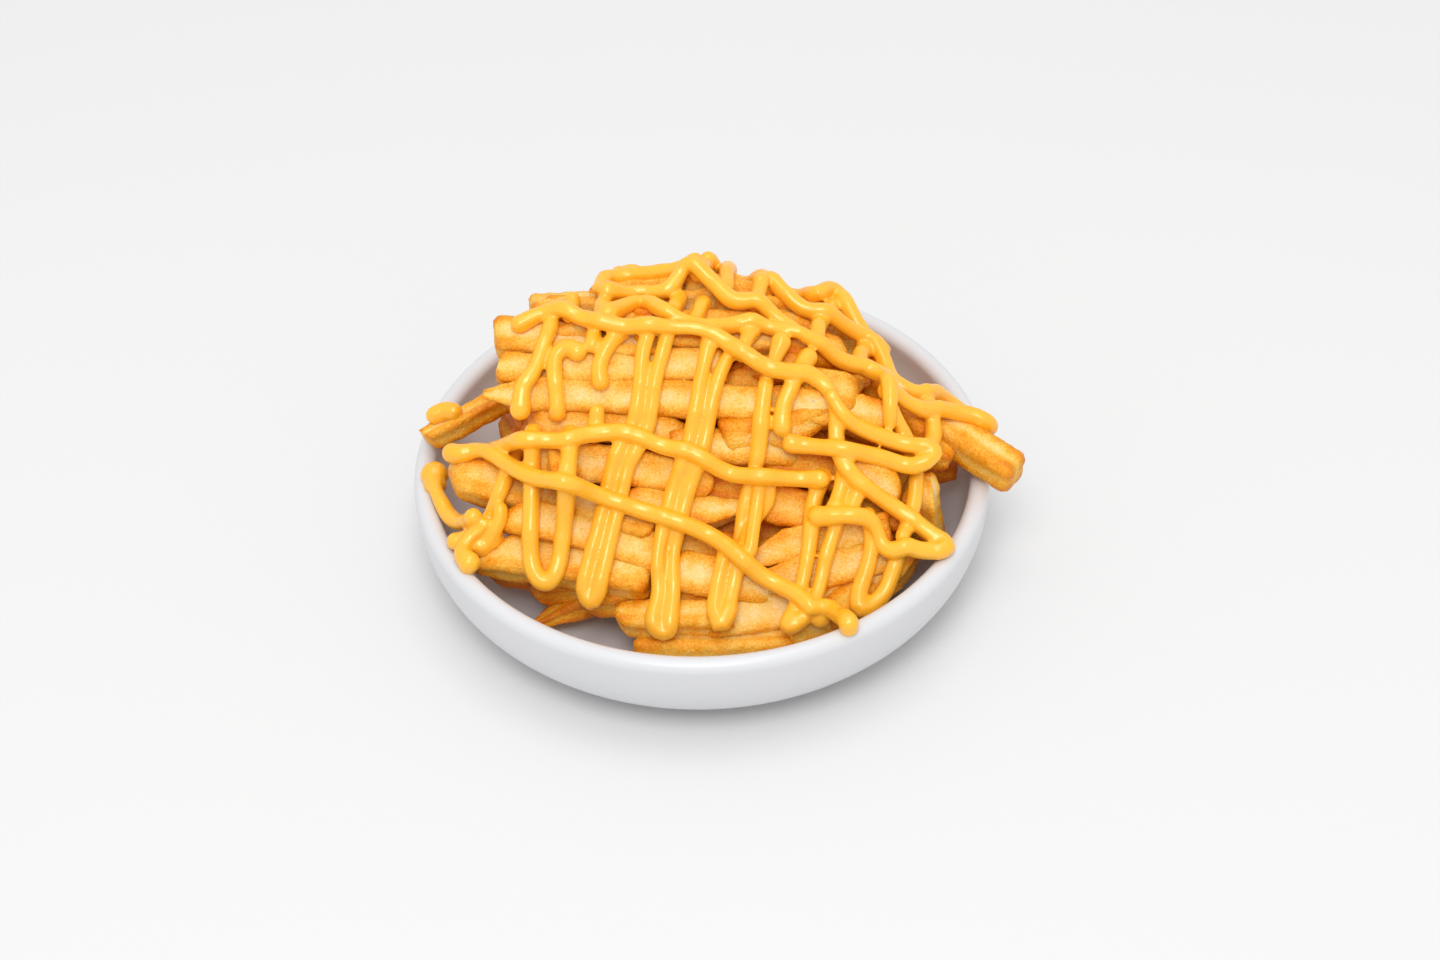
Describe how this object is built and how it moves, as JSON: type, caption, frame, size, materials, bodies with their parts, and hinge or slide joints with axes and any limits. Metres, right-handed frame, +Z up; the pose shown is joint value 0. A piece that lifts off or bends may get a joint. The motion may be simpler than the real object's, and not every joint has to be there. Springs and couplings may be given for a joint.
{
  "type": "dish of cheese fries",
  "caption": "Shallow round white dish heaped with fries under a lattice of cheese sauce strands.",
  "frame": {"origin": "centre of the dish's flat base, on the surface it stands on", "axes": "+Z up along the dish's axis, -Y towards the viewer of the picture, +X to the viewer's right"},
  "size_m": [0.1888, 0.18, 0.0908],
  "materials": {
    "glazed_dish": "satin white glaze",
    "fried_potato": "crisp golden crust, darker at edges and ends",
    "cheese_sauce": "glossy smooth sauce"
  },
  "bodies": {
    "root": {"dish": "glazed_dish", "fries": "fried_potato"}
  },
  "joints": []
}
